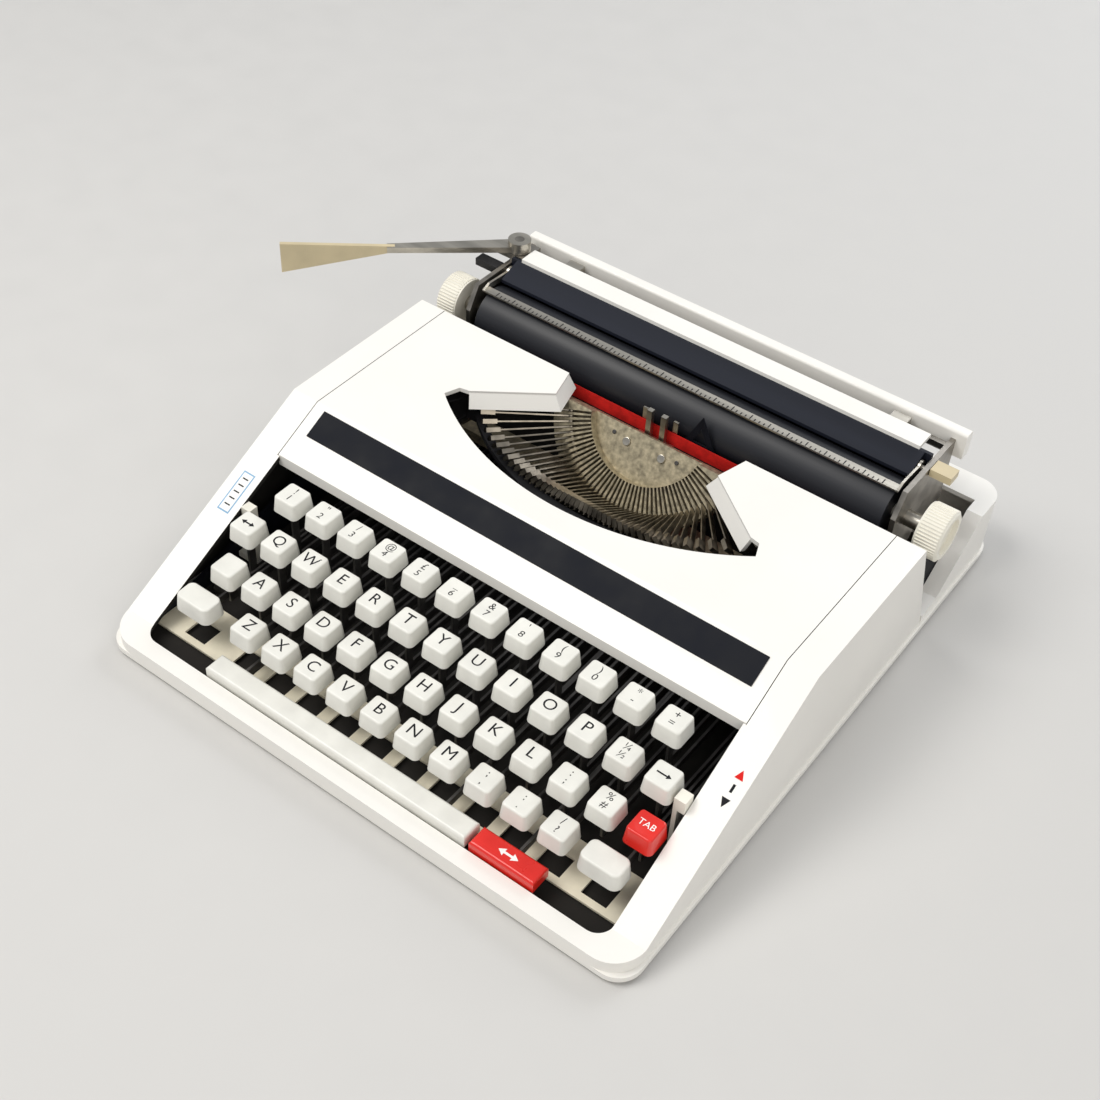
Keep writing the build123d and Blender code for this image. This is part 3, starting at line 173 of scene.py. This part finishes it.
CREAM = material("cream_paint", (0.80, 0.74, 0.58), 0.46, vary=0.1, scale=90.0, bump=0.05)
TAN = material("tan_plastic", (0.58, 0.49, 0.31), 0.40, coat=0.12, vary=0.08, scale=60.0, bump=0.04)
FOOT = material("rubber_foot", (0.03, 0.03, 0.03), 0.85, gloss=0.3, vary=0.2, bump=0.2)
CLOTH_RED = material("ribbon_red", (0.62, 0.016, 0.012), 0.9, gloss=0.2, vary=0.2, scale=260.0,
                     bump=0.5, bump_scale=WEAVE)
CLOTH_BLACK = material("ribbon_black", (0.012, 0.011, 0.012), 0.9, gloss=0.2, vary=0.25, scale=260.0,
                       bump=0.5, bump_scale=WEAVE)
BRASS = material("brass", (0.70, 0.52, 0.22), 0.3, metal=1.0, vary=0.15, scale=120.0)
INK = material("legend_ink", (0.012, 0.012, 0.015), 0.6, gloss=0.15, vary=0.2)
WHITE_INK = material("legend_white", (0.90, 0.89, 0.86), 0.5, vary=0.03)
RED_INK = material("mark_red", (0.72, 0.012, 0.008), 0.6, gloss=0.15, vary=0.05)
BLUE = material("mark_label", (0.22, 0.42, 0.62), 0.5, vary=0.05)

FINISH = {
    IVORY: "base_tray body_shell rear_panel ribbon_cover paper_rest carriage_rear_cover",
    KEY: "number_row_keys upper_row_keys home_row_keys lower_row_keys key_h backspace_key "
         "margin_release_key shift_lock_key shift_keys space_bar",
    KNOB: "platen_knobs ribbon_selector touch_lever",
    RED: "tab_key repeat_bar",
    TRIM: "cover_stripe line_gauge side_frames",
    FRAME_STEEL: "carriage_frame carriage_truck carriage_rail spool_cups mainspring_drum",
    PAPER_TABLE: "paper_table",
    RUBBER: "platen feed_rollers",
    BLACK: "paper_release spool_left spool_right typebar_rest",
    TYPE_STEEL_SHADED: "typebars typebar_h",
    STEEL: "case_screws fulcrum_shaft type_guide ribbon_vibrator paper_bail ratchet_wheel margin_stop_left "
           "margin_stop_right",
    DARK_STEEL: "number_row_levers upper_row_levers home_row_levers lower_row_levers key_h_lever shift_frame",
    CAST: "type_segment",
    CREAM: "key_guide_plate",
    TAN: "return_lever carriage_release",
    FOOT: "rubber_feet",
    CLOTH_RED: "ribbon",
    BRASS: "bell escapement_wheel",
}
for finish, names in FINISH.items():
    for name in names.split():
        mesh = nodes[name].data
        mesh.materials.clear()
        mesh.materials.append(finish)


def repaint(name, finish, chosen):
    """Give a second finish to the faces of a node that a rule picks by centre and normal, in millimetres."""
    mesh = nodes[name].data
    mesh.materials.append(finish)
    for face in mesh.polygons:
        if chosen(face.center / MM, face.normal):
            face.material_index = 1


# Levers and arms under the caps and bars, the platen's shaft, and painted shade inside the casing: a
# near-black finish on its floor, undersides and inner walls
CAP_H = 8.5
CAP_SLACK = 0.01
BAR_REAR_Y = -141.0
PLATEN_Y = 87.0
PLATEN_Z = 60.6
SHAFT_REACH = 4.5
TRAY_REACH = 4.5
INNER_X = 141.1
GRIP_END_X = -172.0
# Least shares of a face's normal along an axis
FACING = 0.5
LEANING = 0.2
for name, key in (("margin_release_key", MARGIN_KEY), ("backspace_key", BACKSPACE_KEY),
                  ("shift_lock_key", SHIFT_LOCK_KEY), ("tab_key", TAB_KEY)):
    repaint(name, DARK_STEEL, lambda c, n, z=BANK_TOP[key[0]] - CAP_H: c.z < z - CAP_SLACK)
for name in ("space_bar", "repeat_bar"):
    repaint(name, DARK_STEEL, lambda c, n: c.y > BAR_REAR_Y)
repaint("platen", STEEL, lambda c, n: math.hypot(c.y - PLATEN_Y, c.z - PLATEN_Z) < SHAFT_REACH)
# Painted shade: the tray's floor, the shell's undersides and inner side walls, and the ribbon cover's
# underside go near black
repaint("base_tray", INSIDE_SHADE, lambda c, n: n.z > FACING and c.z < TRAY_REACH)
repaint("body_shell", INSIDE_SHADE,
        lambda c, n: n.z < -LEANING or (abs(c.x) < INNER_X and n.x * c.x < -FACING * abs(c.x)))
repaint("ribbon_cover", INSIDE_SHADE, lambda c, n: n.z < -FACING)
repaint("return_lever", STEEL, lambda c, n: c.x > GRIP_END_X)


# Softened edges
SOFT = {"body_shell": 1.6, "ribbon_cover": 0.7, "rear_panel": 1.2, "base_tray": 0.8, "paper_rest": 0.5,
        "carriage_release": 0.8, "return_lever": 0.5, "carriage_frame": 0.3, "space_bar": 0.3}
SOFT_STEPS = 3
SOFT_ANGLE = math.radians(35)


def soften(piece, width, steps):
    """Round the sharp edges of a piece by a width in millimetres."""
    bevel = piece.modifiers.new("soft", "BEVEL")
    bevel.width = width * MM
    bevel.segments = steps
    bevel.limit_method = "ANGLE"
    bevel.angle_limit = SOFT_ANGLE


for name, width in SOFT.items():
    soften(nodes[name], width, SOFT_STEPS)


# Small printed marks
def add(name, data):
    """A new object in the scene."""
    made = bpy.data.objects.new(name, data)
    bpy.context.scene.collection.objects.link(made)
    return made


def flat(name, points, finish, body):
    """A thin printed mark from a list of (x, y, z) corners in millimetres."""
    mesh = bpy.data.meshes.new(name)
    mesh.from_pydata([[c * MM for c in p] for p in points], [], [list(range(len(points)))])
    mesh.materials.append(finish)
    mark = add(name, mesh)
    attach(mark, body)


def on_cap(key, px, py):
    """A point just above the hollow top of a cap, in millimetres; px and py count from the cap's middle."""
    hollow = max(0.0, DISH - (px ** 2 + py ** 2) / (2 * DISH_R))
    return key[0] + px, key[1] + py, key[2] - hollow + INK_RISE


def lettering(name, words, key, rise, size, finish, body):
    """Printed letters that follow the hollow of a cap, raised by some millimetres from its middle."""
    curve = bpy.data.curves.new(name, "FONT")
    curve.body = words
    curve.size = size * MM
    curve.align_x = "CENTER"
    curve.align_y = "CENTER"
    curve.resolution_u = LETTER_STEPS
    holder = add(name + "_text", curve)
    bpy.context.view_layer.update()
    mesh = bpy.data.meshes.new_from_object(holder.evaluated_get(bpy.context.evaluated_depsgraph_get()))
    bpy.data.objects.remove(holder)
    bpy.data.curves.remove(curve)
    mesh.materials.clear()
    mesh.materials.append(finish)
    for corner in mesh.vertices:
        corner.co = Vector(on_cap(key, corner.co.x / MM, corner.co.y / MM + rise)) * MM
    letters = add(name, mesh)
    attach(letters, body)


# Shares of an arrow's length: the head's length, and half the breadth of shaft and head
ARROW_HEAD = 0.3
ARROW_THIN = 0.055
ARROW_WIDE = 0.19


def arrow(length, both):
    """Corners of a straight arrow along X, with one head or two."""
    half = length / 2
    head = length * ARROW_HEAD
    thin = length * ARROW_THIN
    wide = length * ARROW_WIDE
    right = [(half - head, -thin), (half - head, -wide), (half, 0), (half - head, wide), (half - head, thin)]
    left = [(-px, -py) for px, py in right] if both else [(-half, thin), (-half, -thin)]
    return right + left


def key_at(row, index):
    """Middle of a cap's top."""
    return FIRST_X + PITCH * (BANK_SHIFT[row] + index), BANK_Y[row], BANK_TOP[row]


for row, bank in enumerate(LEGENDS):
    for index, letter in enumerate(bank):
        if not letter:
            continue
        key = key_at(row, index)
        body = SINGLE_BODY.get((row, index), BANK_BODY[row])
        tag = "legend_%d_%d" % (row, index)
        if UPPER[row][index]:
            lettering(tag + "_low", letter, key, -PAIR_DROP, PAIR_SIZE, INK, body)
            lettering(tag + "_high", UPPER[row][index], key, PAIR_DROP, PAIR_SIZE, INK, body)
        else:
            lettering(tag, letter, key, LETTER_RISE, LETTER_SIZE, INK, body)

lettering("legend_tab", "TAB", key_at(*TAB_KEY), LETTER_RISE, TAB_SIZE, WHITE_INK, "tab")
for name, place, length, both, body in (
        ("legend_backspace", BACKSPACE_KEY, BACKSPACE_ARROW, False, "backspace"),
        ("legend_margin", MARGIN_KEY, MARGIN_ARROW, True, "margin_release")):
    flat(name, [on_cap(key_at(*place), px, py) for px, py in arrow(length, both)], INK, body)
repeat_arrow = [(REPEAT_X + px, BAR_Y + py, BAR_TOP + INK_RISE) for px, py in arrow(REPEAT_ARROW, True)]
flat("legend_repeat", repeat_arrow, WHITE_INK, "repeat")


# Marks on the sloping sides of the keyboard
SLOPE_FOOT_Y = -146.0
SLOPE_FOOT_Z = 12.5
SLOPE_RISE = 0.5
SLOPE_GAP = 0.06
SETTING_X = 138.0
SETTING_HALF_W = 2.0
SETTING_H = 3.8
RED_SETTING_Y = -78.0
BLACK_SETTING_Y = -86.0
STENCIL_X = (137.4, 138.6)
STENCIL_Y = (-83.6, -80.2)
LABEL_X = (-138.2, -131.2)
LABEL_Y = (-91.5, -72.0)
LABEL_BORDER = 0.7
LABEL_LAYER = 0.05
LABEL_TICKS = 5
LABEL_TICK_STEP = 3.2
LABEL_TICK_W = 0.6
LABEL_TICK_X = (-136.4, -133.1)


def slope_mark(name, plan, finish, rise=0.0):
    """A mark on the slope from its corners seen from above."""
    lowest = SLOPE_FOOT_Z + SLOPE_GAP + rise
    flat(name, [(px, py, lowest + (py - SLOPE_FOOT_Y) * SLOPE_RISE) for px, py in plan], finish, "frame")


def rectangle(xs, ys):
    """Corners between two values of x and two of y."""
    return [(xs[0], ys[0]), (xs[1], ys[0]), (xs[1], ys[1]), (xs[0], ys[1])]


def shrunk(limits):
    """Two limits moved inwards by the label's border."""
    return limits[0] + LABEL_BORDER, limits[1] - LABEL_BORDER


mark_left = SETTING_X - SETTING_HALF_W
mark_right = SETTING_X + SETTING_HALF_W
slope_mark("mark_red_ribbon", [(mark_left, RED_SETTING_Y), (mark_right, RED_SETTING_Y),
                               (SETTING_X, RED_SETTING_Y + SETTING_H)], RED_INK)
slope_mark("mark_stencil", rectangle(STENCIL_X, STENCIL_Y), INK)
slope_mark("mark_black_ribbon", [(mark_left, BLACK_SETTING_Y), (SETTING_X, BLACK_SETTING_Y - SETTING_H),
                                 (mark_right, BLACK_SETTING_Y)], INK)
slope_mark("mark_touch_label", rectangle(LABEL_X, LABEL_Y), BLUE)
slope_mark("mark_touch_field", rectangle(shrunk(LABEL_X), shrunk(LABEL_Y)), WHITE_INK, LABEL_LAYER)
for k in range(LABEL_TICKS):
    low = LABEL_Y[0] + LABEL_TICK_STEP * (k + 1)
    slope_mark("mark_touch_%d" % k, rectangle(LABEL_TICK_X, (low, low + LABEL_TICK_W)), INK, 2 * LABEL_LAYER)


# Scale on the paper bail
BAIL_TICKS = 89
BAIL_TICK_STEP = 2.5
BAIL_TICK_HALF_W = 0.28
BAIL_TICK_Y = 80.7
BAIL_TICK_Z = 78.13
BAIL_FIRST_X = -110.0
BAIL_SHORT = 1.7
BAIL_TALL = 3.2
BAIL_TALL_EVERY = 4
for k in range(BAIL_TICKS):
    middle = BAIL_FIRST_X + BAIL_TICK_STEP * k
    tall = BAIL_SHORT if k % BAIL_TALL_EVERY else BAIL_TALL
    plan = rectangle((middle - BAIL_TICK_HALF_W, middle + BAIL_TICK_HALF_W),
                     (BAIL_TICK_Y, BAIL_TICK_Y + tall))
    flat("bail_tick_%d" % k, [(px, py, BAIL_TICK_Z) for px, py in plan], INK, "bail")


# The ribbon: two fixed cloth halves that run from the middle of the print line to the spools
RIBBON_STRAIGHT_X = 50.0
RIBBON_GUIDE_X = 58.0
RIBBON_GUIDE_SET = 1.5
RIBBON_T = 0.3
RIBBON_STEP = 2.0
RIBBON_ROWS = 8
RIBBON_BLACK_ROWS = 3
ribbon_low, ribbon_high = [Vector(corner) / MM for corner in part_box("ribbon")]


def ribbon_half(name, side):
    """A thin closed band from the middle of the print line to a spool."""
    face_y = ribbon_high.y - RIBBON_T
    route = [(0, face_y), (RIBBON_STRAIGHT_X, face_y), (RIBBON_GUIDE_X, face_y - RIBBON_GUIDE_SET),
             (ribbon_high.x, ribbon_low.y)]
    stations = [route[0]]
    for (x0, y0), (x1, y1) in zip(route, route[1:]):
        run = math.hypot(x1 - x0, y1 - y0)
        steps = max(1, round(run / RIBBON_STEP))
        stations += [(x0 + (x1 - x0) * k / steps, y0 + (y1 - y0) * k / steps) for k in range(1, steps + 1)]
    tall = ribbon_high.z - ribbon_low.z
    heights = [ribbon_low.z + tall * k / RIBBON_ROWS for k in range(RIBBON_ROWS + 1)]
    points = []
    for x, y in stations:
        points += [(side * x * MM, y * MM, z * MM) for z in heights]
        points += [(side * x * MM, (y + RIBBON_T) * MM, z * MM) for z in reversed(heights)]
    ring = 2 * len(heights)
    last = (len(stations) - 1) * ring
    faces = [[base + k, base + (k + 1) % ring, base + ring + (k + 1) % ring, base + ring + k]
             for base in range(0, last, ring) for k in range(ring)]
    for base, k in ((base, k) for base in (0, last) for k in range(RIBBON_ROWS)):
        faces.append([base + k, base + k + 1, base + ring - 2 - k, base + ring - 1 - k])
    mesh = bpy.data.meshes.new(name)
    mesh.from_pydata(points, [], faces)
    mesh.materials.append(CLOTH_RED)
    mesh.materials.append(CLOTH_BLACK)
    for face in mesh.polygons:
        face.material_index = 1 if face.center.z / MM < heights[RIBBON_BLACK_ROWS] else 0
    outside = bmesh.new()
    outside.from_mesh(mesh)
    bmesh.ops.recalc_face_normals(outside, faces=outside.faces)
    outside.to_mesh(mesh)
    outside.free()
    band = add(name, mesh)
    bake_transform(band)
    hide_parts("ribbon")


ribbon_half("ribbon_left", -1)
ribbon_half("ribbon_right", 1)


# Screws on the segment's sunk plate, placed from the segment's centre and tilt
SEG_CENTRE = Vector((0, 59.5, 69.3))
SEG_TILT = math.radians(57.0)
SEG_UP = Vector((0, math.cos(SEG_TILT), math.sin(SEG_TILT)))
SEG_OUT = Vector((0, -math.sin(SEG_TILT), math.cos(SEG_TILT)))
PLATE_SINK = 6.0
SCREW_X = 10.0
SCREW_ALONG = 15.5
SCREW_R = 2.1
SCREW_RISE = 1.0
DOT_X = 18.0
DOT_ALONG = 14.0
DOT_R = 1.1
DOT_RISE = 0.5
HEAD_SIDES = 32
HEAD_SOFT = 0.25
HEAD_SOFT_STEPS = 2


def segment_screw(name, x, along, radius, rise, finish):
    """A round head on the plate; along counts down the slope from the segment's centre."""
    bpy.ops.mesh.primitive_cylinder_add(vertices=HEAD_SIDES, radius=radius * MM, depth=rise * MM)
    head = bpy.context.object
    head.name = name
    head.data.materials.append(finish)
    middle = SEG_CENTRE + Vector((x, 0, 0)) - SEG_UP * along - SEG_OUT * (PLATE_SINK - rise / 2)
    head.matrix_world = Matrix.Translation(middle * MM) @ SEG_OUT.to_track_quat("Z", "Y").to_matrix().to_4x4()
    soften(head, HEAD_SOFT, HEAD_SOFT_STEPS)
    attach(head, "frame")


for side in (-1, 1):
    segment_screw("segment_screw_%d" % side, side * SCREW_X, SCREW_ALONG, SCREW_R, SCREW_RISE, STEEL)
    segment_screw("segment_dot_%d" % side, side * DOT_X, DOT_ALONG, DOT_R, DOT_RISE, DARK_STEEL)


# Floor
FLOOR_SIZE = 12.0
bpy.ops.mesh.primitive_plane_add(size=FLOOR_SIZE, location=(0, 0, 0))
floor = bpy.context.object
floor.name = "floor"
floor.data.materials.append(material("floor", (0.60, 0.59, 0.57), 0.75, vary=0.01))


# Soft lights in metres: name, place, aim, power, size and colour
LIGHTS = (
    ("key_light", (-0.7, -0.6, 1.5), (0, 0, 0.04), 18, 0.9, (1.0, 0.98, 0.95)),
    ("fill_light", (1.2, -0.8, 0.9), (0, 0, 0.04), 7, 1.2, (1.0, 0.95, 0.88)),
    ("rim_light", (0.2, 1.3, 1.0), (0, 0, 0.05), 9, 0.8, (0.95, 0.97, 1.0)),
)
SKY_COLOUR = (0.9, 0.92, 0.95, 1)
SKY_STRENGTH = 0.5
for name, place, aim, power, size, colour in LIGHTS:
    lamp = bpy.data.lights.new(name, "AREA")
    lamp.energy = power
    lamp.size = size
    lamp.color = colour
    holder = add(name, lamp)
    holder.location = place
    holder.rotation_euler = (Vector(place) - Vector(aim)).to_track_quat("Z", "Y").to_euler()
world = bpy.data.worlds.new("studio")
world.use_nodes = True
world.node_tree.nodes["Background"].inputs["Color"].default_value = SKY_COLOUR
world.node_tree.nodes["Background"].inputs["Strength"].default_value = SKY_STRENGTH
scene = bpy.context.scene
scene.world = world


# Camera at the photograph's angle
AZIMUTH = math.radians(34.38)
ELEVATION = math.radians(44.41)
ROLL = math.radians(3.5)
CAMERA_PLACE = (0.2953, -0.4498, 0.5549)
FOCAL_MM = 52.68
SENSOR_MM = 36.0
outward = Vector((math.sin(AZIMUTH), -math.cos(AZIMUTH), 0))
back = outward * math.cos(ELEVATION) + Vector((0, 0, math.sin(ELEVATION)))
level = Vector((math.cos(AZIMUTH), math.sin(AZIMUTH), 0))
upright = back.cross(level)
right = level * math.cos(ROLL) + upright * math.sin(ROLL)
up = upright * math.cos(ROLL) - level * math.sin(ROLL)
lens = bpy.data.cameras.new("photo_camera")
lens.lens = FOCAL_MM
lens.sensor_width = SENSOR_MM
camera = add("photo_camera", lens)
camera.matrix_world = Matrix.Translation(CAMERA_PLACE) @ Matrix((right, up, back)).transposed().to_4x4()
scene.camera = camera
scene.view_settings.view_transform = "Standard"
